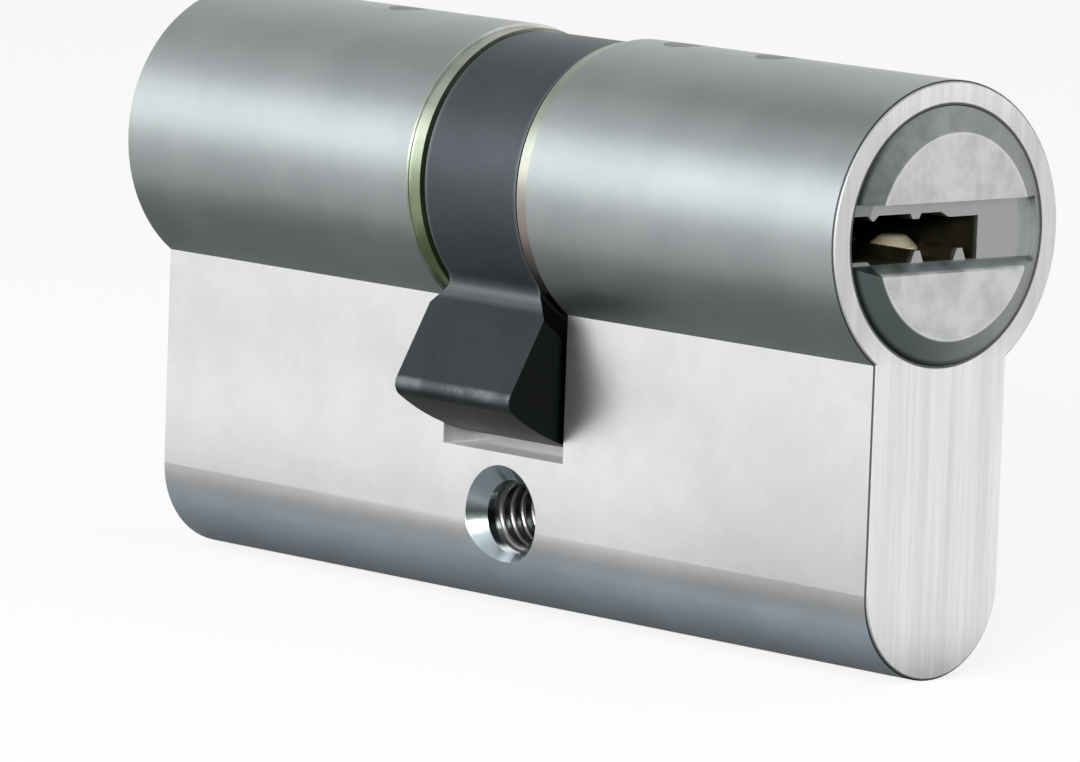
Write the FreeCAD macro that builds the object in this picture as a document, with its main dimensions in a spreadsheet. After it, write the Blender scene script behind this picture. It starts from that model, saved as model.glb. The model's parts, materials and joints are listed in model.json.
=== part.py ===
import FreeCAD, Part
import math
import os
import re
import Sketcher

# Profile lock cylinder with a plug at each end and one cam in the middle.
# The origin is the centre of the fixing screw hole, +X runs towards the front face and +Z is up.
# The plug axis lies above the origin, and the pin chambers hang below it in the stem.

SIZES = {
    # Housing: a round on top of a flat-sided stem with a rounded foot
    "FrontLength": 30.0,
    "RearLength": 30.0,
    "RoundRadius": 8.5,
    "StemWidth": 10.0,
    "AxisHeight": 19.0,
    "FootDepth": 5.5,
    "EdgeBreak": 0.15,
    # Gap in the middle where the cam turns
    "GapWidth": 10.2,
    "GapRadius": 15.3,
    # Threaded hole for the fixing screw, with a countersunk mouth on each side
    "ThreadRadius": 2.1,
    "MouthRadius": 3.0,
    # Plug: barrel, rim and raised nose
    "PlugRadius": 6.5,
    "TurnClearance": 0.05,
    "RimRadius": 7.1,
    "RimDepth": 1.5,
    "NoseRadius": 5.7,
    "NoseHeight": 0.7,
    # Guide channel across the nose: its lower side slopes out
    "ChannelRoof": 1.95,
    "ChannelFloor": 1.4,
    "ChannelSlope": 0.55,
    "ChannelDepth": 0.9,
    "ChannelEnd": 6.4,
    # Keyway: open at the plug's side, with ribs above and below
    "KeywayRoof": 1.3,
    "KeywayFloor": 1.4,
    "KeywayEnd": 2.5,
    "KeywayStep": 0.3,
    "SillHeight": 0.2,
    "SillWidth": 1.4,
    "RibHeight": 0.65,
    "RibWidth": 0.95,
    "RibTip": 0.4,
    "OuterRibPlace": 2.0,
    "InnerRibPlace": 1.2,
    "ToothHeight": 0.3,
    "ToothWidth": 0.8,
    "InnerToothTip": 0.5,
    "OuterToothTip": 0.1,
    "OuterToothPlace": 5.4,
    "InnerToothPlace": 2.2,
    # Plug neck: a groove for the retaining ring and a journal that carries the cam
    "GrooveRadius": 5.4,
    "JournalRadius": 6.0,
    "JournalEnd": 2.2,
    "DriveSlotDepth": 1.2,
    # Retaining ring
    "RingRadius": 8.3,
    "RingThickness": 0.94,
    "RingPlay": 0.04,
    "RingMouthAngle": 70.0,
    # Cam: hub, lever and the two drive slots in its bore
    "HubRadius": 8.15,
    "HubWidth": 7.7,
    "LeverWidth": 9.7,
    "LeverRadius": 15.05,
    "LeverRootRadius": 8.5,
    "LeverTaper": 1.2,
    "LeverRootWidth": 6.7,
    "LeverTipWidth": 9.0,
    "LeverCorner": 0.8,
    "LeverFillet": 1.0,
    "CamAngle": 20.5,
    "CamSlotRadius": 7.0,
    # Coupler that slides in the cam between the two plugs
    "CouplerThickness": 1.6,
    "CouplerReach": 4.0,
    "CouplerShift": 1.0,
    "CouplerBar": 3.0,
    "CouplerTongue": 9.0,
    "SlideClearance": 0.04,
    # Pin stacks
    "PinStart": 4.2,
    "PinPitch": 4.0,
    "PinCount": 5,
    "PinRadius": 1.45,
    "PinSides": 12,
    "ShearGap": 0.02,
    "FootBevel": 0.7,
    "TipBevel": 0.9,
    "DriverLength": 5.5,
    "SpringRadius": 1.35,
    # Strip that closes one half's chambers in the foot
    "StripWidth": 3.6,
    "StripThickness": 1.5,
    "StripOverlap": 1.0,
    # Small plugs that close the bores in the top of the round, and the wall from them to the gap
    "TopPlugRadius": 1.2,
    "FrontTopWall": 2.2,
    "RearTopWall": 8.7,
    "TopPlugPitch": 7.5,
    "TopPlugCount": 2,
    "TopPlugRecess": 0.25,
    # Clearance round every pressed piece
    "PressClearance": 0.01,
    # How far a cutting outline runs past what it cuts
    "Overrun": 1.0,
}
CORE_TIPS = {
    # Depth of each pin's tip below the plug axis, from the face inwards
    "FirstTip": 0.35,
    "SecondTip": 0.95,
    "ThirdTip": 0.6,
    "FourthTip": 1.1,
    "FifthTip": 0.45,
}
SIZES.update(CORE_TIPS)

doc = FreeCAD.newDocument("LockCylinder")
sheet = doc.addObject("Spreadsheet::Sheet", "Sizes")
for row, (alias, number) in enumerate(SIZES.items(), start=1):
    sheet.set("A%d" % row, alias)
    sheet.set("B%d" % row, str(number))
    sheet.setAlias("B%d" % row, alias)
doc.recompute()

# Places that several pieces share, as expressions over the sheet
GAP_FACE = "GapWidth / 2"
PLUG_BORE = "(PlugRadius + TurnClearance)"
RIM_BORE = "(RimRadius + TurnClearance)"
CAM_BORE = "(JournalRadius + TurnClearance)"
CHAMBER = "(PinRadius + TurnClearance)"
RING_FACE = "(GapWidth / 2 - RingPlay)"
SHEAR_LINE = "(AxisHeight - PlugRadius)"
DRIVER_TOP = "(AxisHeight - PlugRadius - ShearGap)"
DRIVER_FOOT = "(AxisHeight - PlugRadius - ShearGap - DriverLength)"
STRIP_TOP = "(StripThickness - FootDepth)"
FOOT_CENTRE = "(StemWidth / 2 - FootDepth)"
MOUTH_DEPTH = "(MouthRadius - ThreadRadius)"
TOP_ROW_REACH = "(GapWidth / 2 + TopPlugRadius + TopPlugPitch * (TopPlugCount - 1))"

# Each half: its name, its length, the place of its outer top plug and its direction along X
HALVES = (
    ("front", "FrontLength", "(FrontTopWall + %s)" % TOP_ROW_REACH, "1"),
    ("rear", "RearLength", "(RearTopWall + %s)" % TOP_ROW_REACH, "-1"),
)

# Two places count as one when they are closer together than this
SAME_PLACE = 0.001


def expression(text):
    """Point each size's name at its cell in the sheet."""
    return re.sub(r"[A-Za-z]\w*", lambda m: "Sizes." + m.group() if m.group() in SIZES else m.group(), text)


def value(text):
    return float(sheet.evalExpression(expression(text)))


def bind(thing, path, text):
    thing.setExpression(path, expression(text))


# Sketch helpers

def new_sketch(body, name, role, lift=None, turn=None):
    """A sketch on one of the body's own origin planes, moved along its normal by lift."""
    sketch = body.newObject("Sketcher::SketchObject", body.Name + name)
    plane = next(item for item in body.Origin.OriginFeatures if item.Role == role)
    sketch.AttachmentSupport = [(plane, "")]
    sketch.MapMode = "FlatFace"
    if lift:
        bind(sketch, "AttachmentOffset.Base.z", lift)
    if turn:
        bind(sketch, "AttachmentOffset.Rotation.Angle", turn)
    return sketch


def hold(sketch, constraint, text):
    """Add a dimension and tie it to the sheet."""
    row = sketch.addConstraint(constraint)
    bind(sketch, "Constraints[%d]" % row, text)


def hold_point(sketch, item, end, across, up):
    if across == "0":
        sketch.addConstraint(Sketcher.Constraint("PointOnObject", item, end, -2))
    else:
        hold(sketch, Sketcher.Constraint("DistanceX", -1, 1, item, end, value(across)), across)
    if up == "0":
        sketch.addConstraint(Sketcher.Constraint("PointOnObject", item, end, -1))
    else:
        hold(sketch, Sketcher.Constraint("DistanceY", -1, 1, item, end, value(up)), up)


def point(across, up):
    return FreeCAD.Vector(value(across), value(up), 0)


def draw_outline(sketch, corners):
    """A closed outline of straight lines through the corners."""
    first = sketch.GeometryCount
    count = len(corners)
    for i in range(count):
        sketch.addGeometry(Part.LineSegment(point(*corners[i]), point(*corners[(i + 1) % count])))
    for i in range(count):
        sketch.addConstraint(Sketcher.Constraint("Coincident", first + i, 2, first + (i + 1) % count, 1))
    for i in range(count):
        hold_point(sketch, first + i, 1, *corners[i])


def draw_circle(sketch, across, up, radius):
    circle = Part.Circle(point(across, up), FreeCAD.Vector(0, 0, 1), value(radius))
    item = sketch.addGeometry(circle)
    hold_point(sketch, item, 3, across, up)
    hold(sketch, Sketcher.Constraint("Radius", item, value(radius)), radius)


def box_corners(left, right, low, high):
    return [(left, low), (right, low), (right, high), (left, high)]


def pin_corners(across, radius):
    """The many-sided outline shared by the pins and the chambers they run in."""
    corners = []
    for i in range(SIZES["PinSides"]):
        turn = "(180 / PinSides * %d)" % (2 * i + 1)
        corners.append(("%s + %s * cos(%s)" % (across, radius, turn), "%s * sin(%s)" % (radius, turn)))
    return corners


# Feature helpers

def new_body(label):
    body = doc.addObject("PartDesign::Body", label.title().replace("_", ""))
    body.Label = label
    return body


def new_feature(body, kind, name, sketch):
    feature = body.newObject("PartDesign::" + kind, body.Name + name)
    feature.Profile = sketch
    return feature


def add_pad(body, name, sketch, length, midplane=False):
    pad = new_feature(body, "Pad", name, sketch)
    pad.Midplane = midplane
    bind(pad, "Length", length)
    return pad


def add_pocket(body, name, sketch, length=None, midplane=False, flip=False):
    """A cut along the sketch's normal: towards its back, or its front when flipped."""
    pocket = new_feature(body, "Pocket", name, sketch)
    pocket.Midplane = midplane
    pocket.Reversed = flip
    if length:
        bind(pocket, "Length", length)
    else:
        pocket.Type = "ThroughAll"
    return pocket


def add_turned(body, kind, name, sketch, axis):
    turned = new_feature(body, kind, name, sketch)
    turned.ReferenceAxis = (sketch, [axis])
    turned.Angle = 360
    return turned


def add_row(body, name, features, sketch, pitch, count):
    """Repeat features along the sketch's own level axis."""
    row = body.newObject("PartDesign::LinearPattern", body.Name + name)
    row.Originals = features
    row.Direction = (sketch, ["H_Axis"])
    bind(row, "Length", "%s * (%s - 1)" % (pitch, count))
    bind(row, "Occurrences", count)
    body.Tip = row
    return row


def add_dressing(body, kind, name, size, edges):
    doc.recompute()
    base = body.Tip
    names = ["Edge%d" % (i + 1) for i, edge in enumerate(base.Shape.Edges) if edges(edge)]
    dressing = body.newObject("PartDesign::" + kind, body.Name + name)
    dressing.Base = (base, names)
    bind(dressing, "Radius" if kind == "Fillet" else "Size", size)
    body.Tip = dressing
    return dressing


def is_same(first, second):
    return abs(first - second) < SAME_PLACE


def lift_to_axis(thing):
    bind(thing, "Placement.Base.z", "AxisHeight")


def turn_about(thing, axis):
    """Half a turn, which makes a front piece into its rear twin."""
    thing.Placement = FreeCAD.Placement(FreeCAD.Vector(0, 0, value("AxisHeight")), axis, 180)
    lift_to_axis(thing)


# Housing

def draw_profile(sketch):
    """The profile's outline: round, two flat flanks and the rounded foot."""
    half = value("StemWidth / 2")
    axis = value("AxisHeight")
    radius = value("RoundRadius")
    foot = value(FOOT_CENTRE)
    up = FreeCAD.Vector(0, 0, 1)
    reach = (radius ** 2 - half ** 2) ** 0.5
    angle = FreeCAD.Vector(half, -reach, 0).getAngle(FreeCAD.Vector(1, 0, 0))
    right = FreeCAD.Vector(half, axis - reach, 0)
    left = FreeCAD.Vector(-half, axis - reach, 0)
    turn = math.pi
    round_circle = Part.Circle(FreeCAD.Vector(0, axis, 0), up, radius)
    foot_circle = Part.Circle(FreeCAD.Vector(0, foot, 0), up, half)
    round_arc = sketch.addGeometry(Part.ArcOfCircle(round_circle, -angle, turn + angle))
    left_flank = sketch.addGeometry(Part.LineSegment(left, FreeCAD.Vector(-half, foot, 0)))
    foot_arc = sketch.addGeometry(Part.ArcOfCircle(foot_circle, turn, 2 * turn))
    right_flank = sketch.addGeometry(Part.LineSegment(FreeCAD.Vector(half, foot, 0), right))
    sketch.addConstraint(Sketcher.Constraint("Coincident", round_arc, 2, left_flank, 1))
    sketch.addConstraint(Sketcher.Constraint("Coincident", right_flank, 2, round_arc, 1))
    sketch.addConstraint(Sketcher.Constraint("Tangent", left_flank, 2, foot_arc, 1))
    sketch.addConstraint(Sketcher.Constraint("Tangent", foot_arc, 2, right_flank, 1))
    sketch.addConstraint(Sketcher.Constraint("Vertical", left_flank))
    sketch.addConstraint(Sketcher.Constraint("Vertical", right_flank))
    hold_point(sketch, round_arc, 3, "0", "AxisHeight")
    hold_point(sketch, foot_arc, 3, "0", FOOT_CENTRE)
    hold(sketch, Sketcher.Constraint("Radius", round_arc, radius), "RoundRadius")
    hold(sketch, Sketcher.Constraint("Radius", foot_arc, half), "StemWidth / 2")


def draw_strip(sketch, face, sign, clearance):
    """The outline of the strip that covers one half's pin chambers."""
    margin = "(%s + StripOverlap + %s)" % (CHAMBER, clearance)
    outer = "%s * (%s - PinStart + %s)" % (sign, face, margin)
    inner = "%s * (%s - PinStart - PinPitch * (PinCount - 1) - %s)" % (sign, face, margin)
    side = "(StripWidth / 2 + %s)" % clearance
    draw_outline(sketch, box_corners(inner, outer, "-" + side, side))


def cut_chambers(body, side, face, sign):
    """The pin chambers of one half and the groove in the foot for their strip."""
    sketch = new_sketch(body, side + "ChamberSketch", "XY_Plane", "AxisHeight")
    draw_outline(sketch, pin_corners("%s * (%s - PinStart)" % (sign, face), CHAMBER))
    bore = add_pocket(body, side + "Chamber", sketch, "AxisHeight - %s + StripThickness / 2" % STRIP_TOP)
    row = add_row(body, side + "ChamberRow", [bore], sketch, "PinPitch", "PinCount")
    row.Reversed = sign == "1"
    groove = new_sketch(body, side + "StripSketch", "XY_Plane", STRIP_TOP)
    draw_strip(groove, face, sign, "PressClearance")
    add_pocket(body, side + "StripGroove", groove)


def cut_top_bores(body, side, place, sign):
    """The bores in the top of the round, which the small plugs close."""
    sketch = new_sketch(body, side + "TopSketch", "XY_Plane", "AxisHeight")
    draw_circle(sketch, "%s * %s" % (sign, place), "0", "TopPlugRadius + PressClearance")
    bore = add_pocket(body, side + "TopBore", sketch, flip=True)
    row = add_row(body, side + "TopRow", [bore], sketch, "TopPlugPitch", "TopPlugCount")
    row.Reversed = sign == "1"


def is_face_edge(edge):
    """True for the outer edges of the two end faces."""
    box = edge.BoundBox
    at_end = is_same(box.XMin, value("FrontLength")) or is_same(box.XMax, value("-RearLength"))
    return at_end and is_same(box.XLength, 0)


def make_housing():
    body = new_body("housing")
    profile = new_sketch(body, "ProfileSketch", "YZ_Plane", "-RearLength")
    draw_profile(profile)
    add_pad(body, "Profile", profile, "FrontLength + RearLength")
    add_dressing(body, "Chamfer", "FaceEdges", "EdgeBreak", is_face_edge)
    bore = new_sketch(body, "BoreSketch", "YZ_Plane")
    draw_circle(bore, "0", "AxisHeight", PLUG_BORE)
    add_pocket(body, "Bore", bore, midplane=True)
    gap = new_sketch(body, "GapSketch", "XZ_Plane")
    gap_top = "AxisHeight + RoundRadius + Overrun"
    draw_outline(gap, box_corners("-" + GAP_FACE, GAP_FACE, "AxisHeight - GapRadius", gap_top))
    add_pocket(body, "Gap", gap, midplane=True)
    front_rim = new_sketch(body, "FrontRimSketch", "YZ_Plane", "FrontLength")
    draw_circle(front_rim, "0", "AxisHeight", RIM_BORE)
    add_pocket(body, "FrontRim", front_rim, "RimDepth + TurnClearance")
    rear_rim = new_sketch(body, "RearRimSketch", "YZ_Plane", "-RearLength")
    draw_circle(rear_rim, "0", "AxisHeight", RIM_BORE)
    add_pocket(body, "RearRim", rear_rim, "RimDepth + TurnClearance", flip=True)
    for side, face, place, sign in HALVES:
        cut_chambers(body, side.title(), face, sign)
        cut_top_bores(body, side.title(), place, sign)
    screw = new_sketch(body, "ScrewSketch", "XY_Plane")
    flank = "StemWidth / 2"
    outer = "StemWidth / 2 + Overrun"
    wide = "MouthRadius + Overrun"
    draw_outline(screw, [
        ("0", "-(%s)" % outer), (wide, "-(%s)" % outer), ("ThreadRadius", "%s - %s" % (MOUTH_DEPTH, flank)),
        ("ThreadRadius", "%s - %s" % (flank, MOUTH_DEPTH)), (wide, outer), ("0", outer),
    ])
    add_turned(body, "Groove", "Screw", screw, "V_Axis")
    return body


# Plugs

def keyway_corners():
    """The keyway's outline, from its open side to its closed end and back."""
    floor = "-KeywayFloor"
    roof = "KeywayRoof"
    low_roof = "KeywayRoof - KeywayStep"
    mouth = "-(RimRadius + Overrun)"
    sill = "SillHeight - KeywayFloor"
    corners = [(mouth, sill), ("SillWidth - RimRadius", sill), ("SillWidth + SillHeight - RimRadius", floor)]
    for place in ("-OuterRibPlace", "InnerRibPlace"):
        corners.append((place + " - RibWidth / 2", floor))
        corners.append((place + " - RibTip / 2", "RibHeight - KeywayFloor"))
        corners.append((place + " + RibTip / 2", "RibHeight - KeywayFloor"))
        corners.append((place + " + RibWidth / 2", floor))
    corners.append(("KeywayEnd", floor))
    corners.append(("KeywayEnd", low_roof))
    corners.append(("KeywayStep", low_roof))
    corners.append(("-KeywayStep", roof))
    for place, tip in (("-InnerToothPlace", "InnerToothTip"), ("-OuterToothPlace", "OuterToothTip")):
        corners.append((place + " + ToothWidth / 2", roof))
        corners.append(("%s + %s / 2" % (place, tip), "KeywayRoof - ToothHeight"))
        corners.append(("%s - %s / 2" % (place, tip), "KeywayRoof - ToothHeight"))
        corners.append((place + " - ToothWidth / 2", roof))
    corners.append((mouth, roof))
    return corners


def make_plug(label, length):
    """One plug in its own frame: the axis is X and the nose is at +X."""
    body = new_body(label)
    turned = new_sketch(body, "TurnedSketch", "XZ_Plane")
    groove_end = RING_FACE + " - RingThickness - RingPlay"
    draw_outline(turned, [
        ("JournalEnd", "0"), (length + " + NoseHeight", "0"), (length + " + NoseHeight", "NoseRadius"),
        (length, "RimRadius"), (length + " - RimDepth", "RimRadius"), (length + " - RimDepth", "PlugRadius"),
        (RING_FACE, "PlugRadius"), (RING_FACE, "GrooveRadius"), (groove_end, "GrooveRadius"),
        (groove_end, "JournalRadius"), ("JournalEnd", "JournalRadius"),
    ])
    add_turned(body, "Revolution", "Turned", turned, "H_Axis")
    channel = new_sketch(body, "ChannelSketch", "XZ_Plane", "-ChannelEnd")
    out = length + " + NoseHeight + Overrun"
    floor = length + " + NoseHeight - ChannelDepth"
    draw_outline(channel, [
        (floor, "ChannelRoof"), (floor, "-ChannelFloor"),
        (length + " + NoseHeight", "-ChannelFloor - ChannelSlope"),
        (out, "-ChannelFloor - ChannelSlope"), (out, "ChannelRoof"),
    ])
    add_pocket(body, "Channel", channel, flip=True)
    keyway = new_sketch(body, "KeywaySketch", "YZ_Plane")
    draw_outline(keyway, keyway_corners())
    add_pocket(body, "Keyway", keyway, flip=True)
    drive = new_sketch(body, "DriveSketch", "YZ_Plane", "JournalEnd")
    half_bar = "(CouplerBar / 2 + SlideClearance)"
    reach = "JournalRadius + Overrun"
    draw_outline(drive, box_corners("-(%s)" % reach, reach, "-" + half_bar, half_bar))
    add_pocket(body, "Drive", drive, "DriveSlotDepth", flip=True)
    chamber = new_sketch(body, "ChamberSketch", "XY_Plane")
    draw_outline(chamber, pin_corners(length + " - PinStart", CHAMBER))
    bore = add_pocket(body, "Chamber", chamber)
    row = add_row(body, "ChamberRow", [bore], chamber, "PinPitch", "PinCount")
    row.Reversed = True
    lift_to_axis(body)
    return body


# Retaining rings

def make_ring(label):
    """An open ring that snaps into the plug's groove, with its mouth towards +Y."""
    body = new_body(label)
    flat = new_sketch(body, "FlatSketch", "YZ_Plane", RING_FACE + " - RingThickness")
    draw_circle(flat, "0", "0", "RingRadius")
    draw_circle(flat, "0", "0", "GrooveRadius + TurnClearance")
    add_pad(body, "Flat", flat, "RingThickness")
    mouth = new_sketch(body, "MouthSketch", "YZ_Plane", RING_FACE)
    far = "(RingRadius + Overrun)"
    spread = far + " * tan(RingMouthAngle / 2)"
    draw_outline(mouth, [("0", "0"), (far, "-" + spread), (far, spread)])
    add_pocket(body, "Mouth", mouth)
    lift_to_axis(body)
    return body


# Cam

def draw_lever(sketch):
    """The lever's outline, hanging straight down: flared flanks and an arc at the tip."""
    radius = value("LeverRadius")
    half_tip = value("LeverTipWidth / 2")
    drop = -(radius ** 2 - half_tip ** 2) ** 0.5
    half_root = value("LeverRootWidth / 2")
    root = value("-JournalRadius - Overrun")
    root_right = FreeCAD.Vector(half_root, root, 0)
    root_left = FreeCAD.Vector(-half_root, root, 0)
    tip_left = FreeCAD.Vector(-half_tip, drop, 0)
    tip_right = FreeCAD.Vector(half_tip, drop, 0)
    tip_low = FreeCAD.Vector(0, -radius, 0)
    sketch.addGeometry(Part.LineSegment(root_right, root_left))
    sketch.addGeometry(Part.LineSegment(root_left, tip_left))
    sketch.addGeometry(Part.Arc(tip_left, tip_low, tip_right))
    sketch.addGeometry(Part.LineSegment(tip_right, root_right))
    sketch.addConstraint(Sketcher.Constraint("Coincident", 0, 2, 1, 1))
    sketch.addConstraint(Sketcher.Constraint("Coincident", 1, 2, 2, 1))
    sketch.addConstraint(Sketcher.Constraint("Coincident", 2, 2, 3, 1))
    sketch.addConstraint(Sketcher.Constraint("Coincident", 3, 2, 0, 1))
    sketch.addConstraint(Sketcher.Constraint("Coincident", 2, 3, -1, 1))
    hold(sketch, Sketcher.Constraint("Radius", 2, radius), "LeverRadius")
    hold_point(sketch, 0, 1, "LeverRootWidth / 2", "-JournalRadius - Overrun")
    hold_point(sketch, 0, 2, "-LeverRootWidth / 2", "-JournalRadius - Overrun")
    hold(sketch, Sketcher.Constraint("DistanceX", -1, 1, 2, 1, -half_tip), "-LeverTipWidth / 2")
    hold(sketch, Sketcher.Constraint("DistanceX", -1, 1, 2, 2, half_tip), "LeverTipWidth / 2")


def level_edge_reach(edge):
    """How far an edge along the plug axis lies from it, or 0 for any other edge."""
    box = edge.BoundBox
    if is_same(box.YLength, 0) and is_same(box.ZLength, 0):
        return (box.Center.y ** 2 + box.Center.z ** 2) ** 0.5
    return 0


def is_lever_corner(edge):
    return is_same(level_edge_reach(edge), value("LeverRadius"))


def is_lever_root(edge):
    """True for the two edges where the lever's flanks meet the hub, below the axis."""
    return is_same(level_edge_reach(edge), value("HubRadius")) and edge.BoundBox.Center.z < 0


def make_cam():
    body = new_body("cam")
    hub = new_sketch(body, "HubSketch", "YZ_Plane")
    draw_circle(hub, "0", "0", "HubRadius")
    add_pad(body, "Hub", hub, "LeverWidth", midplane=True)
    lever = new_sketch(body, "LeverSketch", "YZ_Plane", turn="-CamAngle")
    draw_lever(lever)
    add_pad(body, "Lever", lever, "LeverWidth", midplane=True)
    add_dressing(body, "Fillet", "LeverRoot", "LeverFillet", is_lever_root)
    add_dressing(body, "Fillet", "TipCorners", "LeverCorner", is_lever_corner)
    relief = new_sketch(body, "ReliefSketch", "XZ_Plane")
    far = "(LeverWidth / 2 + Overrun)"
    taper_end = "LeverRootRadius + LeverTaper"
    for side in ("", "-"):
        draw_outline(relief, [
            (side + "(HubWidth / 2)", "0"), (side + "(HubWidth / 2)", "LeverRootRadius"),
            (side + "(LeverWidth / 2)", taper_end), (side + far, taper_end), (side + far, "0"),
        ])
    add_turned(body, "Groove", "Relief", relief, "H_Axis")
    bore = new_sketch(body, "BoreSketch", "YZ_Plane")
    draw_circle(bore, "0", "0", CAM_BORE)
    add_pocket(body, "Bore", bore, midplane=True)
    slots = new_sketch(body, "SlotSketch", "YZ_Plane")
    half_bar = "(CouplerBar / 2 + SlideClearance)"
    draw_outline(slots, box_corners("-CamSlotRadius", "CamSlotRadius", "-" + half_bar, half_bar))
    add_pocket(body, "Slots", slots, midplane=True)
    lift_to_axis(body)
    return body


# Coupler

def make_coupler():
    """A disc with a long bar that rides in the cam and a short bar that enters a plug."""
    body = new_body("cam_coupler")
    disc = new_sketch(body, "DiscSketch", "YZ_Plane", "CouplerShift")
    draw_circle(disc, "0", "0", "JournalRadius - TurnClearance")
    add_pad(body, "Disc", disc, "CouplerThickness", midplane=True)
    half_bar = "CouplerBar / 2"
    wings = new_sketch(body, "WingSketch", "YZ_Plane", "CouplerShift")
    reach = "(CamSlotRadius - TurnClearance)"
    draw_outline(wings, box_corners("-" + reach, reach, "-" + half_bar, half_bar))
    add_pad(body, "Wings", wings, "CouplerThickness", midplane=True)
    tongue = new_sketch(body, "TongueSketch", "YZ_Plane", "CouplerShift")
    draw_outline(tongue, box_corners("-CouplerTongue / 2", "CouplerTongue / 2", "-" + half_bar, half_bar))
    add_pad(body, "Tongue", tongue, "CouplerReach", midplane=True)
    lift_to_axis(body)
    return body


# Pin stacks

def stack_place(index, face, sign):
    return "%s * (%s - PinStart - PinPitch * %d)" % (sign, face, index)


def stand_at(body, index, face, sign):
    bind(body, "Placement.Base.x", stack_place(index, face, sign))


def is_level_at(edge, height):
    box = edge.BoundBox
    return is_same(box.ZLength, 0) and is_same(box.ZMin, value(height))


def make_core_pin(label, tip, index, face, sign):
    """A pin in the plug, bevelled at the shear line and again at the tip that is read."""
    body = new_body(label)
    foot = SHEAR_LINE + " + ShearGap"
    top = "AxisHeight - " + tip
    outline = new_sketch(body, "OutlineSketch", "XY_Plane", foot)
    draw_outline(outline, pin_corners("0", "PinRadius"))
    add_pad(body, "Pin", outline, "%s - (%s)" % (top, foot))
    add_dressing(body, "Chamfer", "Foot", "FootBevel", lambda edge: is_level_at(edge, foot))
    add_dressing(body, "Chamfer", "Tip", "TipBevel", lambda edge: is_level_at(edge, top))
    stand_at(body, index, face, sign)
    return body


def make_plain_pin(label, radius, foot, top, index, face, sign):
    """A straight piece that stands in one chamber, from foot to top."""
    pin = doc.addObject("Part::Prism", label.title().replace("_", ""))
    pin.Label = label
    bind(pin, "Polygon", "PinSides")
    bind(pin, "Circumradius", radius)
    bind(pin, "Height", "%s - %s" % (top, foot))
    bind(pin, "Placement.Base.z", foot)
    bind(pin, "Placement.Rotation.Angle", "180 / PinSides")
    stand_at(pin, index, face, sign)
    return pin


def make_driver_pin(label, index, face, sign):
    return make_plain_pin(label, "PinRadius", DRIVER_FOOT, DRIVER_TOP, index, face, sign)


def make_spring(label, index, face, sign):
    """The space that the driver's coil spring fills, from the strip to the driver."""
    return make_plain_pin(label, "SpringRadius", STRIP_TOP, DRIVER_FOOT, index, face, sign)


# Pressed pieces

def make_chamber_strip(label, face, sign):
    """The strip that closes one half's chambers, filed to the foot's curve."""
    body = new_body(label)
    sketch = new_sketch(body, "StripSketch", "XY_Plane", "-FootDepth")
    draw_strip(sketch, face, sign, "0")
    add_pad(body, "Strip", sketch, "StripThickness")
    return file_to_curve(body, "StemWidth / 2", FOOT_CENTRE)


def make_top_plugs(label, place, sign):
    """The plugs in one half's top bores, filed to the round."""
    body = new_body(label)
    sketch = new_sketch(body, "PlugSketch", "XY_Plane", "AxisHeight + PlugRadius + TopPlugRecess")
    draw_circle(sketch, "%s * %s" % (sign, place), "0", "TopPlugRadius")
    plug = add_pad(body, "Plug", sketch, "RoundRadius - PlugRadius - TopPlugRecess")
    row = add_row(body, "PlugRow", [plug], sketch, "TopPlugPitch", "TopPlugCount")
    row.Reversed = sign == "1"
    return file_to_curve(body, "RoundRadius", "AxisHeight")


def file_to_curve(body, radius, height):
    """Cut away what stands out of a long cylinder of this radius at this height."""
    around = new_sketch(body, "CurveSketch", "YZ_Plane")
    draw_circle(around, "0", height, radius)
    draw_circle(around, "0", height, radius + " + Overrun")
    add_pocket(body, "Curve", around, midplane=True)
    return body


# The whole lock cylinder

def make_all():
    front_plug = make_plug("front_plug", "FrontLength")
    rear_plug = make_plug("rear_plug", "RearLength")
    front_ring = make_ring("front_retaining_ring")
    rear_ring = make_ring("rear_retaining_ring")
    turn_about(rear_plug, FreeCAD.Vector(0, 0, 1))
    turn_about(rear_ring, FreeCAD.Vector(0, 1, 0))
    pieces = [make_housing(), front_plug, rear_plug, front_ring, rear_ring, make_cam(), make_coupler()]
    for side, face, place, sign in HALVES:
        for index, tip in enumerate(list(CORE_TIPS)[:SIZES["PinCount"]]):
            name = "%s_%%s_%d" % (side, index + 1)
            pieces.append(make_core_pin(name % "core_pin", tip, index, face, sign))
            pieces.append(make_driver_pin(name % "driver_pin", index, face, sign))
            pieces.append(make_spring(name % "driver_spring", index, face, sign))
        pieces.append(make_chamber_strip(side + "_chamber_strip", face, sign))
        pieces.append(make_top_plugs(side + "_top_plugs", place, sign))
    return pieces


def check_document():
    doc.recompute()
    for item in doc.Objects:
        if "Invalid" in item.State or "Error" in item.State:
            raise RuntimeError("%s did not build: %s" % (item.Name, item.State))


def write_pieces(pieces):
    os.makedirs("parts", exist_ok=True)
    for piece in pieces:
        shape = piece.Shape
        if shape.isNull() or not shape.isValid() or not shape.Solids:
            raise RuntimeError("%s has no sound shape" % piece.Label)
        print("%-24s %2d solid(s) %10.3f mm3" % (piece.Label, len(shape.Solids), shape.Volume))
    for piece in pieces:
        piece.Shape.exportStep(os.path.join("parts", piece.Label + ".step"))


all_pieces = make_all()
check_document()
write_pieces(all_pieces)
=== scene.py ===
import json
import math

import bpy
from mathutils import Matrix, Vector


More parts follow.
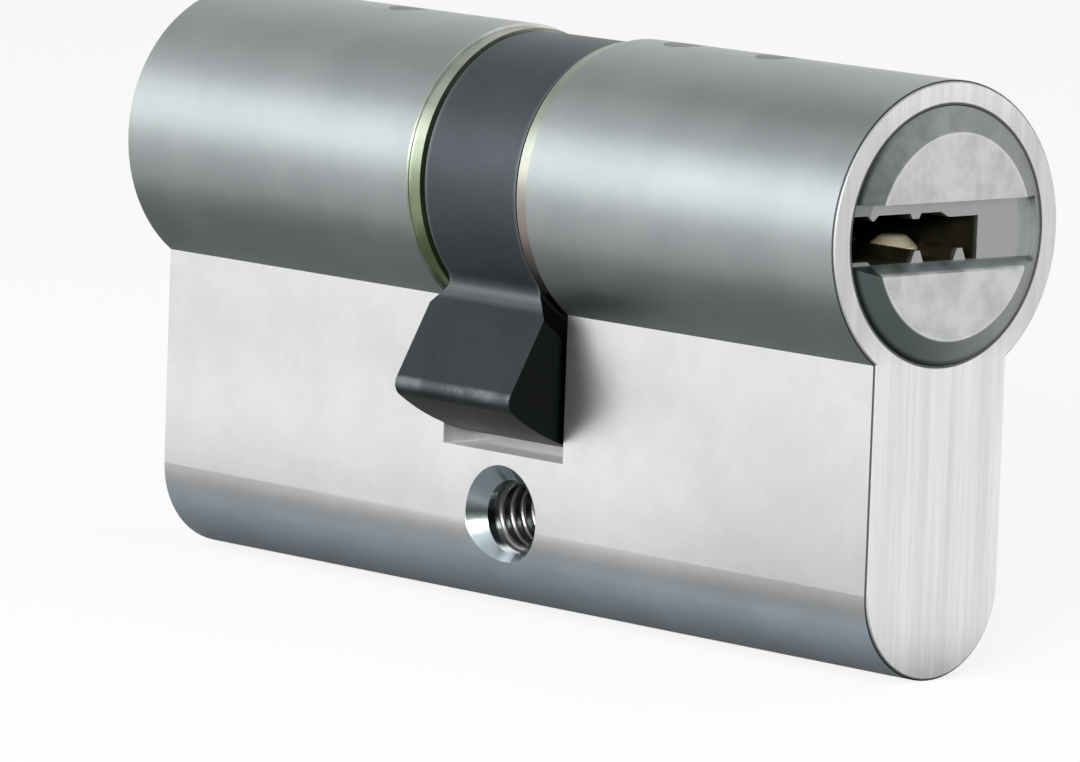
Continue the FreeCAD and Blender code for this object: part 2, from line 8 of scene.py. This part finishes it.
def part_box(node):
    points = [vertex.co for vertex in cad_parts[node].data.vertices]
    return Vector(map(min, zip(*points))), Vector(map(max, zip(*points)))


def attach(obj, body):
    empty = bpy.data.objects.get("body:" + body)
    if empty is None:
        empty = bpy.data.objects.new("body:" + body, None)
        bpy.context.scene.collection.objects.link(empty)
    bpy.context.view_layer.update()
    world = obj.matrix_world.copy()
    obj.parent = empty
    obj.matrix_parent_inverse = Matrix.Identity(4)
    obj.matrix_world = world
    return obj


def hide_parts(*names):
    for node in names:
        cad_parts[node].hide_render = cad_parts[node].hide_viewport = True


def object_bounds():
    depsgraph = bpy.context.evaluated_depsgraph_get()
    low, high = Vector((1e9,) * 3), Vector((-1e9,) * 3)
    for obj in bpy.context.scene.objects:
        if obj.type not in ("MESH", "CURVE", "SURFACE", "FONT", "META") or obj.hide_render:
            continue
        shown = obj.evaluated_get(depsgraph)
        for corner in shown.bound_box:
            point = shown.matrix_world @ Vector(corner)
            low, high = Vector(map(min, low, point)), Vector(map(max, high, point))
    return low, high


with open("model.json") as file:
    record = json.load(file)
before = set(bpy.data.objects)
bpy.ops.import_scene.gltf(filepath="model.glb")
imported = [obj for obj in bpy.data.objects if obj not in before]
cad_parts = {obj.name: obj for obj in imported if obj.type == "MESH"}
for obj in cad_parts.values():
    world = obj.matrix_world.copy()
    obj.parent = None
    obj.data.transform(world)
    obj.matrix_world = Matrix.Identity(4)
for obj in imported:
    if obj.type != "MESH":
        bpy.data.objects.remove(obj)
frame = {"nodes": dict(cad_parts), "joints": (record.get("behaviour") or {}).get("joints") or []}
cad_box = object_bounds()

MM = 0.001

# The part's own sizes, where its finishes change
plug_turn = next(joint for joint in frame["joints"] if joint["name"] == "front_plug_turn")
AXIS_HEIGHT = plug_turn["pos_m"][2]
FACE_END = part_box("housing")[1].x
ROUND_RADIUS = 8.5 * MM
STEM_HALF = 5 * MM
SHOULDER = AXIS_HEIGHT - math.sqrt(ROUND_RADIUS ** 2 - STEM_HALF ** 2)
RECESS_RADIUS = 7.2 * MM
NOSE_RADIUS = 5.7 * MM
KEYWAY_HALF = 1.5 * MM
RING_RADIUS = 8.3 * MM
HUB_RADIUS = 8.15 * MM
HUB_SIDE = 3.85 * MM
LEVER_TIP = 15.05 * MM
GAP_SIDE = 5.1 * MM
MOUTH_RADIUS = 3.0 * MM

# The pieces that the scene adds
PIN_COUNT = 5
PIN_RADIUS = 1.40 * MM
PIN_SIDES = 48
BORE_LENGTH = 8.2 * MM
THREAD_ROOT = 2.09 * MM
THREAD_CREST = 1.72 * MM
THREAD_PITCH = 0.8 * MM
THREAD_STEPS = 40

# Heights and aim on the stage
FLOOR_HEIGHT = cad_box[0][2]
CARD_HEIGHT = FLOOR_HEIGHT + 0.05 * MM
LAMP_TARGET = Vector((0, 0, 12 * MM))


# Shader helpers

class Value:
    """A socket that holds a number, with the sums a finish needs."""

    def __init__(self, nodes, socket):
        self.nodes = nodes
        self.socket = socket

    def sum(self, operation, first, second):
        return self.nodes.value("ShaderNodeMath", {"operation": operation}, {0: first, 1: second})

    def __add__(self, other):
        return self.sum("ADD", self, other)

    def __radd__(self, other):
        return self.sum("ADD", other, self)

    def __sub__(self, other):
        return self.sum("SUBTRACT", self, other)

    def __rsub__(self, other):
        return self.sum("SUBTRACT", other, self)

    def __mul__(self, other):
        return self.sum("MULTIPLY", self, other)

    def __rmul__(self, other):
        return self.sum("MULTIPLY", other, self)

    def __pow__(self, other):
        return self.sum("POWER", self, other)

    def __abs__(self):
        return self.sum("ABSOLUTE", self, 0.0)


class Nodes:
    """A node tree that is filled through one method."""

    def __init__(self, tree):
        self.tree = tree
        self.tree.nodes.clear()

    def feed(self, node, sockets):
        for name, given in sockets.items():
            source = given.socket if isinstance(given, Value) else given
            if isinstance(source, bpy.types.NodeSocket):
                self.tree.links.new(source, node.inputs[name])
            else:
                node.inputs[name].default_value = source

    def add(self, kind, settings=None, sockets=None):
        node = self.tree.nodes.new(kind)
        for name, setting in (settings or {}).items():
            setattr(node, name, setting)
        self.feed(node, sockets or {})
        return node

    def value(self, kind, settings=None, sockets=None):
        return Value(self, self.add(kind, settings, sockets).outputs[0])

    def seen(self):
        """1 where a ray comes straight from the camera, from a mirror or through glass."""
        rays = self.add("ShaderNodeLightPath").outputs
        straight = Value(self, rays["Is Camera Ray"])
        mirrored = Value(self, rays["Is Glossy Ray"])
        through = Value(self, rays["Is Transmission Ray"])
        return straight + mirrored + through


class Finish(Nodes):
    """A surface finish, worked out from where a point lies on its piece and which way it faces."""

    def __init__(self, name):
        self.material = bpy.data.materials.new(name)
        self.material.use_nodes = True
        super().__init__(self.material.node_tree)
        self.shader = self.add("ShaderNodeBsdfPrincipled")
        self.output = self.add("ShaderNodeOutputMaterial", {}, {"Surface": self.shader.outputs[0]})
        self.place = self.add("ShaderNodeTexCoord").outputs["Object"]
        self.x, self.y, self.z = self.split(self.place)
        normal = self.add("ShaderNodeNewGeometry").outputs["Normal"]
        self.facing_x, self.facing_y, self.facing_z = self.split(normal)

    def split(self, arrow):
        parts = self.add("ShaderNodeSeparateXYZ", {}, {0: arrow}).outputs
        return [Value(self, parts[i]) for i in range(3)]

    def between(self, amount, low, high):
        """0 below low and 1 above high, with a smooth step; low may be the larger."""
        return self.value("ShaderNodeMapRange", {"interpolation_type": "SMOOTHSTEP"}, {
            "Value": amount, "From Min": low, "From Max": high, "To Min": 0.0, "To Max": 1.0,
        })

    def grain(self, stretch, detail=3.0, roughness=0.6):
        """Noise from 0 to 1, where stretch is how many changes there are per metre on each axis."""
        mapped = self.add("ShaderNodeMapping", {}, {"Vector": self.place, "Scale": stretch})
        return self.value("ShaderNodeTexNoise", {}, {
            "Vector": mapped.outputs[0], "Scale": 1.0, "Detail": detail, "Roughness": roughness,
        })

    def mix(self, amount, first, second):
        """The first colour where amount is 0 and the second where it is 1."""
        node = self.add("ShaderNodeMix", {"data_type": "RGBA"}, {0: amount, 6: first, 7: second})
        return node.outputs[2]

    def from_axis(self):
        """Distance from the plug axis."""
        return distance(self.y, self.z - AXIS_HEIGHT)

    def wear(self, color, roughness, bump=None, depth=0.01 * MM, strength=0.3, metallic=1.0):
        """Give the surface its look, and hand back the material."""
        self.feed(self.shader, {"Base Color": color, "Roughness": roughness, "Metallic": metallic})
        if bump is not None:
            heights = {"Height": bump, "Strength": strength, "Distance": depth}
            self.feed(self.shader, {"Normal": self.add("ShaderNodeBump", {}, heights).outputs[0]})
        return self.material


def distance(across, up):
    return (across * across + up * up) ** 0.5


def grey(level, blue=0.0):
    return (level * (1 - blue), level, level * (1 + blue), 1)


# The housing's finish

def foot_color(f, cloud):
    """The stem's round foot: bluish, with painted shade that makes it darker towards the bottom."""
    light = f.mix(cloud, (0.66, 0.76, 0.84, 1), (0.73, 0.83, 0.91, 1))
    dark = f.mix(cloud, (0.40, 0.46, 0.50, 1), (0.44, 0.50, 0.55, 1))
    return f.mix(f.between(f.facing_z, -0.30, -0.93), light, dark)


def flank_color(f):
    """The stem's blasted sides, with painted light that makes them lighter low down and away from the near
    end.
    """
    blasted = f.between(f.grain((330, 330, 330), 5.0, 0.7), 0.3, 0.7)
    dim = f.mix(blasted, grey(0.58, 0.01), grey(0.62))
    bright = f.mix(blasted, grey(0.68, 0.01), grey(0.73))
    low_down = f.between(f.z, 9 * MM, 3 * MM)
    away = f.between(f.x, 22 * MM, 8 * MM)
    return f.mix(low_down * away, dim, bright)


def end_face_color(f, ground):
    """The end faces, with painted shade that makes them a little darker beside the plug than on the stem."""
    on_stem = f.mix(ground, (0.68, 0.68, 0.69, 1), (0.80, 0.80, 0.81, 1))
    on_round = f.mix(ground, (0.56, 0.56, 0.57, 1), (0.67, 0.67, 0.68, 1))
    beside_plug = f.between(f.z, 11.5 * MM, 14 * MM) * f.between(f.z, 27.5 * MM, 24 * MM)
    return f.mix(beside_plug, on_stem, on_round)


def mouth_color(f):
    """The mouths of the cross hole, with painted light and shade: light above, dark at the sides and pale
    below.
    """
    above = f.between(f.facing_z, 0.0, -0.25)
    below = f.between(f.facing_z, 0.2, 0.45)
    color = f.mix(above, (0.06, 0.07, 0.065, 1), (0.62, 0.72, 0.77, 1))
    return f.mix(below, color, (0.44, 0.52, 0.55, 1))


def satin_nickel():
    """Nickel plate on the housing: ground end faces, a blasted stem and a drawn round."""
    f = Finish("satin_nickel")
    face = f.between(abs(f.facing_x), 0.75, 0.95)
    stem = f.between(f.z, SHOULDER + 0.02 * MM, SHOULDER - 0.02 * MM)
    flank = f.between(abs(f.facing_y), 0.92, 0.999) * stem

    cloud = f.between(f.grain((180, 180, 180), 4.0), 0.3, 0.7)
    drawn = f.grain((60, 1400, 1400), 3.0)
    speck = f.grain((3500, 3500, 3500), 2.0)
    fine_lines = f.grain((900, 2600, 60), 5.0, 0.75)
    bands = f.grain((300, 700, 25), 2.0)
    ground = f.between(0.6 * fine_lines + 0.4 * bands, 0.37, 0.63)

    round_color = f.mix(cloud, (0.268, 0.295, 0.297, 1), (0.303, 0.326, 0.329, 1))
    color = f.mix(stem, round_color, foot_color(f, cloud))
    color = f.mix(flank, color, flank_color(f))
    color = f.mix(face, color, end_face_color(f, ground))

    near_screw = f.between(distance(f.x, f.z), MOUTH_RADIUS + 0.06 * MM, MOUTH_RADIUS - 0.04 * MM)
    in_mouth = near_screw * f.between(abs(f.facing_x), 0.05, 0.2)
    color = f.mix(in_mouth, color, mouth_color(f))

    # Painted highlight: the floor of the gap is near white and dull, not metallic, so that it shows bright.
    in_gap = f.between(abs(f.x), GAP_SIDE + 0.1 * MM, GAP_SIDE)
    gap_floor = in_gap * f.between(f.facing_z, 0.8, 0.95) * f.between(f.z, 6 * MM, 5 * MM)
    color = f.mix(gap_floor, color, grey(0.95))

    # Painted shade: the bevel round each end face is darkened, with a near black line next to the face.
    edge = f.between(abs(f.x), FACE_END - 0.17 * MM, FACE_END - 0.14 * MM) * (1 - face)
    edge_line = edge * f.between(abs(f.x), FACE_END - 0.05 * MM, FACE_END - 0.09 * MM)
    color = f.mix(edge, color, grey(0.30, 0.03))
    color = f.mix(edge_line, color, grey(0.04, 0.03))
    # Painted shade: a dark ring on the end face round the plug's recess, where the gap to the plug lies.
    gap_shade = face * f.between(f.from_axis(), RECESS_RADIUS + 0.12 * MM, RECESS_RADIUS + 0.04 * MM)
    color = f.mix(gap_shade * 0.9, color, (0.03, 0.035, 0.03, 1))

    streak = face * ground + (1 - face) * (0.6 * drawn + 0.4 * speck)
    roughness = 0.36 + 0.08 * streak - 0.04 * flank + 0.015 * cloud
    roughness = roughness - 0.19 * in_mouth + 0.2 * edge - 0.26 * gap_floor
    return f.wear(color, roughness, streak, metallic=1 - gap_floor)


# The plugs' finish

def disc_color(f, cloud, reach):
    """The mottled nose disc, with a painted highlight as a paler line at its edge."""
    edge = f.between(reach, NOSE_RADIUS - 0.12 * MM, NOSE_RADIUS - 0.07 * MM)
    return f.mix(edge * 0.22, f.mix(cloud, grey(0.49, 0.01), grey(0.61)), grey(0.88))


def cone_color(f, cloud, reach):
    """The cone round the disc, with painted shade that makes it darker towards the lower left and a painted
    shadow that makes it darkest at its rim there.
    """
    lit = f.between(0.85 * f.y + 0.5 * (f.z - AXIS_HEIGHT), -6.5 * MM, 3 * MM)
    light = f.mix(cloud, (0.21, 0.225, 0.22, 1), (0.27, 0.285, 0.28, 1))
    rim = f.between(reach, RECESS_RADIUS - 0.45 * MM, RECESS_RADIUS - 0.15 * MM) * (1 - lit)
    color = f.mix(lit, (0.070, 0.086, 0.086, 1), light)
    return f.mix(rim, color, (0.010, 0.013, 0.012, 1))


def channel_color(f, out):
    """The guide channel, with painted shade that makes the slope at its lower side darker."""
    slope = f.between(f.facing_z, 0.2, 0.5) * f.between(out, FACE_END - 0.15 * MM, FACE_END - 0.05 * MM)
    return f.mix(slope, (0.35, 0.36, 0.35, 1), (0.25, 0.29, 0.30, 1))


def turned_nickel():
    """The plug: a mottled nose disc, a darker satin cone with painted shade, and a keyway darkened inside
    with painted shade.
    """
    f = Finish("turned_nickel")
    reach = f.from_axis()
    out = abs(f.x)
    level = abs(f.z - AXIS_HEIGHT)
    disc = f.between(reach, NOSE_RADIUS + 0.08 * MM, NOSE_RADIUS - 0.02 * MM)
    disc = disc * f.between(out, FACE_END + 0.4 * MM, FACE_END + 0.6 * MM)
    cone = f.between(reach, NOSE_RADIUS - 0.05 * MM, NOSE_RADIUS + 0.1 * MM)
    cone = cone * f.between(out, FACE_END - 0.3 * MM, FACE_END - 0.1 * MM)
    inside = f.between(out, FACE_END - 0.2 * MM, FACE_END - 0.6 * MM)
    inside = inside * f.between(level, KEYWAY_HALF + 0.05 * MM, KEYWAY_HALF - 0.05 * MM)

    cloud = f.between(f.grain((560, 560, 560), 5.0, 0.65), 0.34, 0.64)
    scratch = f.grain((800, 300, 6000), 3.0, 0.7)
    color = f.mix(disc, channel_color(f, out), disc_color(f, cloud, reach))
    color = f.mix(cone, color, cone_color(f, cloud, reach))
    # Painted shade: the inside of the keyway is near black olive.
    color = f.mix(inside, color, (0.050, 0.046, 0.026, 1))
    roughness = 0.3 + 0.12 * cloud + 0.08 * scratch + 0.1 * inside
    return f.wear(color, roughness, 0.5 * cloud + 0.5 * scratch, depth=0.02 * MM)


# The other finishes

def yellow_zinc():
    """Passivated zinc on the rings: pale above, greener or pinker below, with painted shade darkening the
    outer rims and the front one's foot.
    """
    f = Finish("yellow_zinc")
    drift = f.between(f.grain((220, 300, 300), 2.0), 0.38, 0.62)
    fine = f.grain((2500, 900, 900), 3.0)
    low = f.between(f.z, AXIS_HEIGHT + 5 * MM, AXIS_HEIGHT - 5 * MM)
    front = f.between(f.x, -1 * MM, 1 * MM)
    # Painted shade: the front ring's foot is made near black.
    foot = f.between(f.z, AXIS_HEIGHT - 2.5 * MM, AXIS_HEIGHT - 6 * MM) * front
    # Painted shade: a dark line round each ring's outer rim.
    rim = f.between(f.from_axis(), RING_RADIUS - 0.18 * MM, RING_RADIUS - 0.04 * MM)
    pale = f.mix(drift, (0.50, 0.54, 0.44, 1), (0.62, 0.66, 0.56, 1))
    green = f.mix(drift, (0.26, 0.38, 0.14, 1), (0.46, 0.52, 0.26, 1))
    pink = f.mix(drift, (0.52, 0.38, 0.37, 1), (0.50, 0.45, 0.42, 1))
    color = f.mix(low, pale, f.mix(front, green, pink))
    color = f.mix(rim * 0.5, color, (0.05, 0.06, 0.05, 1))
    color = f.mix(foot, color, (0.012, 0.014, 0.013, 1))
    return f.wear(color, 0.26 + 0.14 * fine, fine, strength=0.2)


def dark_steel():
    """Blackened sintered steel on the cam, rubbed bright along its working edges with wear and painted
    highlight, with a painted highlight at the lever's root and painted shade that makes its sides near black.
    """
    f = Finish("dark_steel")
    reach = f.from_axis()
    cloud = f.grain((300, 300, 300), 4.0)
    pores = f.grain((5200, 5200, 5200), 3.0, 0.7)
    # Painted shade: the side faces are near black.
    side = f.between(abs(f.facing_x), 0.5, 0.9)
    hub = f.between(reach, HUB_RADIUS + 0.4 * MM, HUB_RADIUS + 0.1 * MM)
    # Wear and painted highlight: a light band at the hub's edges.
    hub_edge = f.between(abs(f.x), HUB_SIDE - 0.3 * MM, HUB_SIDE) * hub
    # Painted highlight: a light band at the lever's root fillet.
    root = f.between(reach, HUB_RADIUS + 0.1 * MM, HUB_RADIUS + 0.4 * MM)
    root = root * f.between(reach, HUB_RADIUS + 1.3 * MM, HUB_RADIUS + 0.8 * MM) * (1 - side)
    # Wear and painted highlight: a light band round the lever's tip corner, patchy where rubbed.
    corner = f.between(reach, LEVER_TIP - 0.9 * MM, LEVER_TIP - 0.65 * MM)
    corner = corner * f.between(reach, LEVER_TIP - 0.05 * MM, LEVER_TIP - 0.35 * MM) * (1 - side)
    rubbed = f.between(cloud + 0.4 * pores, 0.55, 0.85)
    bright = hub_edge * 0.3 + root * 0.25 + corner * (0.12 + 0.3 * rubbed)

    lever_color = f.mix(cloud, (0.015, 0.018, 0.020, 1), (0.035, 0.041, 0.044, 1))
    hub_color = f.mix(cloud, (0.034, 0.041, 0.047, 1), (0.064, 0.075, 0.084, 1))
    color = f.mix(side, f.mix(hub, lever_color, hub_color), (0.003, 0.004, 0.004, 1))
    color = f.mix(bright, color, (0.24, 0.26, 0.27, 1))
    roughness = 0.36 + 0.12 * pores + 0.08 * cloud
    return f.wear(color, roughness, pores, depth=0.03 * MM, strength=0.35, metallic=0.85 + 0.15 * side)


def plain_metal(name, dark, light, roughness, stretch=(900, 900, 900), metallic=1.0):
    """A metal with its own grain, for the inner pieces, the thread and what is filed flush."""
    f = Finish(name)
    cloud = f.grain((350, 350, 350), 4.0)
    turning = f.grain(stretch, 3.0)
    color = f.mix(cloud, dark, light)
    return f.wear(color, roughness + 0.14 * turning, turning, strength=0.25, metallic=metallic)


def dress(node, material):
    mesh = frame["nodes"][node].data
    mesh.materials.clear()
    mesh.materials.append(material)


# Meshes

def make_piece(name, points, faces, material, body):
    mesh = bpy.data.meshes.new(name)
    mesh.from_pydata(points, [], faces)
    mesh.validate()
    mesh.shade_smooth()
    mesh.materials.append(material)
    piece = bpy.data.objects.new(name, mesh)
    bpy.context.scene.collection.objects.link(piece)
    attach(piece, body)
    return piece


def turned_mesh(outline, across):
    """Points and faces of an outline of (radius, height) turned about a line parallel to Z."""
    points = []
    for radius, height in outline:
        for i in range(PIN_SIDES):
            turn = 2 * math.pi * i / PIN_SIDES
            points.append((across + radius * math.cos(turn), radius * math.sin(turn), height))
    top = (len(outline) - 1) * PIN_SIDES
    faces = []
    for row in range(0, top, PIN_SIDES):
        for i in range(PIN_SIDES):
            j = (i + 1) % PIN_SIDES
            faces.append((row + i, row + j, row + PIN_SIDES + j, row + PIN_SIDES + i))
    faces.append(tuple(reversed(range(PIN_SIDES))))
    faces.append(tuple(range(top, top + PIN_SIDES)))
    return points, faces


def round_pin(node, outline_of, material):
    """A turned pin in place of the many-sided one of the same name."""
    low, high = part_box(node)
    points, faces = turned_mesh(outline_of(low.z, high.z), (low.x + high.x) / 2)
    piece = make_piece(node + "_turned", points, faces, material, node)
    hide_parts(node)


def core_outline(foot, top):
    """A crowned foot and a bevelled tip with a small round at its end."""
    r = PIN_RADIUS
    return [
        (0.40 * r, foot), (0.62 * r, foot + 0.10 * MM), (0.86 * r, foot + 0.34 * MM), (r, foot + 0.70 * MM),
        (r, top - 0.66 * MM), (0.97 * r, top - 0.60 * MM), (0.62 * r, top - 0.14 * MM),
        (0.52 * r, top - 0.04 * MM), (0.36 * r, top),
    ]


def driver_outline(foot, top):
    """A spool: two collars and a narrow waist."""
    r = PIN_RADIUS
    return [
        (0.9 * r, foot), (r, foot + 0.12 * MM), (r, foot + 2.6 * MM), (0.72 * r, foot + 3.0 * MM),
        (0.72 * r, top - 1.3 * MM), (r, top - 1.2 * MM), (r, top - 0.12 * MM), (0.9 * r, top),
    ]


def screw_thread(material):
    """The M5 thread in the cross hole: a ridge that winds along Y between the two mouths."""
    profile = [(0.0, THREAD_ROOT), (0.36, THREAD_CREST), (0.48, THREAD_CREST), (0.84, THREAD_ROOT)]
    rows = len(profile)
    ridge = profile[-1][0] * THREAD_PITCH
    turns = int((BORE_LENGTH - ridge) / THREAD_PITCH)
    start = -(turns * THREAD_PITCH + ridge) / 2
    points = []
    for i in range(turns * THREAD_STEPS + 1):
        turn = 2 * math.pi * i / THREAD_STEPS
        along = start + THREAD_PITCH * i / THREAD_STEPS
        for share, radius in profile:
            points.append((radius * math.cos(turn), along + share * THREAD_PITCH, radius * math.sin(turn)))
    last = turns * THREAD_STEPS * rows
    faces = []
    for i in range(0, last, rows):
        for k in range(rows):
            n = (k + 1) % rows
            faces.append((i + k, i + n, i + rows + n, i + rows + k))
    faces.append(tuple(range(rows)))
    faces.append(tuple(reversed(range(last, last + rows))))
    make_piece("screw_thread", points, faces, material, "housing")


# Lamps, cards and camera

def aim(thing, back):
    """Turn a lamp or card so that its +Z looks along back."""
    z = Vector(back).normalized()
    x = Vector((0, 0, 1)).cross(z).normalized()
    turned = Matrix((x, z.cross(x), z)).transposed().to_4x4()
    thing.matrix_world = Matrix.Translation(thing.location) @ turned


def soft_lamp(name, place, width, height, power):
    lamp = bpy.data.lights.new(name, "AREA")
    lamp.shape = "RECTANGLE"
    lamp.size = width
    lamp.size_y = height
    lamp.energy = power
    thing = bpy.data.objects.new(name, lamp)
    thing.location = place
    bpy.context.scene.collection.objects.link(thing)
    aim(thing, Vector(place) - LAMP_TARGET)


def lay_sheet(name, place, width, depth, level):
    """A level sheet with a faint mottle; its finish comes back with it."""
    w, d = width / 2, depth / 2
    mesh = bpy.data.meshes.new(name)
    mesh.from_pydata([(-w, -d, 0), (w, -d, 0), (w, d, 0), (-w, d, 0)], [], [(0, 1, 2, 3)])
    f = Finish(name + "_finish")
    mottle = f.grain((8, 8, 8), 2.0)
    mesh.materials.append(f.wear(f.mix(mottle, grey(level * 0.98), grey(level)), 0.9, metallic=0.0))
    sheet = bpy.data.objects.new(name, mesh)
    sheet.location = place
    bpy.context.scene.collection.objects.link(sheet)
    return sheet, f


def make_floor(size, level, white_share):
    """A pale floor, lifted to white where it is seen or mirrored, that keeps part of the shadow."""
    _, f = lay_sheet("floor", (0, 0, FLOOR_HEIGHT), size, size, level)
    white = f.add("ShaderNodeEmission", {}, {"Color": (1, 1, 1, 1), "Strength": 1.0})
    both = f.add("ShaderNodeMixShader", {}, {
        0: f.seen() * white_share, 1: f.shader.outputs[0], 2: white.outputs[0],
    })
    f.feed(f.output, {"Surface": both.outputs[0]})


def make_card(name, place, width, depth, level, tilted=False):
    """A dull studio card that only shows in the metal."""
    sheet, _ = lay_sheet(name, place, width, depth, level)
    if tilted:
        aim(sheet, -Vector(place))
    sheet.visible_camera = False
    sheet.visible_shadow = False
    sheet.visible_diffuse = False


def make_world(dim_share):
    """A white surround, dimmer as a light than as a background."""
    world = bpy.data.worlds.new("white_studio")
    world.use_nodes = True
    nodes = Nodes(world.node_tree)
    strength = nodes.value("ShaderNodeMapRange", {}, {
        "Value": nodes.seen(), "To Min": dim_share, "To Max": 1.0,
    })
    back = nodes.add("ShaderNodeBackground", {}, {"Color": (1, 1, 1, 1), "Strength": strength})
    nodes.add("ShaderNodeOutputWorld", {}, {"Surface": back.outputs[0]})
    bpy.context.scene.world = world


def make_camera():
    """A long lens at the photo's angle, rolled a little, that looks below and left of the middle."""
    azimuth, height, roll = math.radians(48.03), math.radians(7.14), math.radians(2.04)
    distance_off = 535.6 * MM
    middle = Vector((0, 0, 11.65 * MM))
    left_by, down_by = 1.89 * MM, 4.09 * MM
    back = Vector((
        math.sin(azimuth) * math.cos(height), -math.cos(azimuth) * math.cos(height), math.sin(height),
    ))
    level = Vector((math.cos(azimuth), math.sin(azimuth), 0))
    upright = back.cross(level)
    right = level * math.cos(roll) + upright * math.sin(roll)
    up = back.cross(right)
    place = middle - right * left_by - up * down_by + back * distance_off
    lens = bpy.data.cameras.new("long_lens")
    lens.lens = 314.5
    lens.sensor_width = 36
    lens.clip_start = 10 * MM
    camera = bpy.data.objects.new("camera", lens)
    camera.matrix_world = Matrix.Translation(place) @ Matrix((right, up, back)).transposed().to_4x4()
    bpy.context.scene.collection.objects.link(camera)
    bpy.context.scene.camera = camera


# The dressed cylinder

make_camera()
nickel = satin_nickel()
plug_finish = turned_nickel()
zinc = yellow_zinc()
brass = plain_metal("turned_brass", (0.66, 0.56, 0.34, 1), (0.88, 0.80, 0.58, 1), 0.20, (300, 300, 4000), 0.6)
steel = plain_metal("turned_steel", grey(0.42), grey(0.56), 0.28, (300, 300, 4000))
wire = plain_metal("drawn_wire", grey(0.40), grey(0.52), 0.34)
filed = plain_metal("filed_brass", (0.48, 0.42, 0.28, 1), (0.66, 0.60, 0.44, 1), 0.34, (80, 4000, 400))
pressed = plain_metal("filed_nickel", (0.10, 0.11, 0.105, 1), (0.17, 0.18, 0.17, 1), 0.38, (80, 3000, 3000))
cut = plain_metal("cut_thread", (0.095, 0.09, 0.085, 1), (0.20, 0.195, 0.19, 1), 0.26, (4000, 300, 4000))

dress("housing", nickel)
dress("cam", dark_steel())
dress("cam_coupler", steel)
for side in ("front", "rear"):
    dress(side + "_plug", plug_finish)
    dress(side + "_retaining_ring", zinc)
    dress(side + "_chamber_strip", filed)
    dress(side + "_top_plugs", pressed)
    for number in range(1, PIN_COUNT + 1):
        core = "%s_core_pin_%d" % (side, number)
        driver = "%s_driver_pin_%d" % (side, number)
        dress(core, brass)
        dress(driver, steel)
        dress("%s_driver_spring_%d" % (side, number), wire)
        round_pin(core, core_outline, brass)
        round_pin(driver, driver_outline, steel)
screw_thread(cut)

# The stage, in metres and watts

make_floor(size=6.0, level=0.78, white_share=0.82)
make_card("upper_card", (-0.05, -0.12, 0.45), 0.70, 0.24, level=0.06, tilted=True)
make_card("under_card", (-0.05, 0, CARD_HEIGHT), 0.17, 0.026, level=0.22)
make_card("near_card", (-0.05, -0.022, CARD_HEIGHT), 0.17, 0.017, level=0.20)
soft_lamp("left_lamp", (-0.36, -0.43, 0.16), 0.40, 0.28, power=0.9)
soft_lamp("top_lamp", (0.10, 0.20, 0.60), 0.40, 0.30, power=0.9)
soft_lamp("front_lamp", (0.38, -0.50, 0.16), 0.24, 0.12, power=6.0)
make_world(dim_share=0.5)
bpy.context.scene.view_settings.view_transform = "Standard"
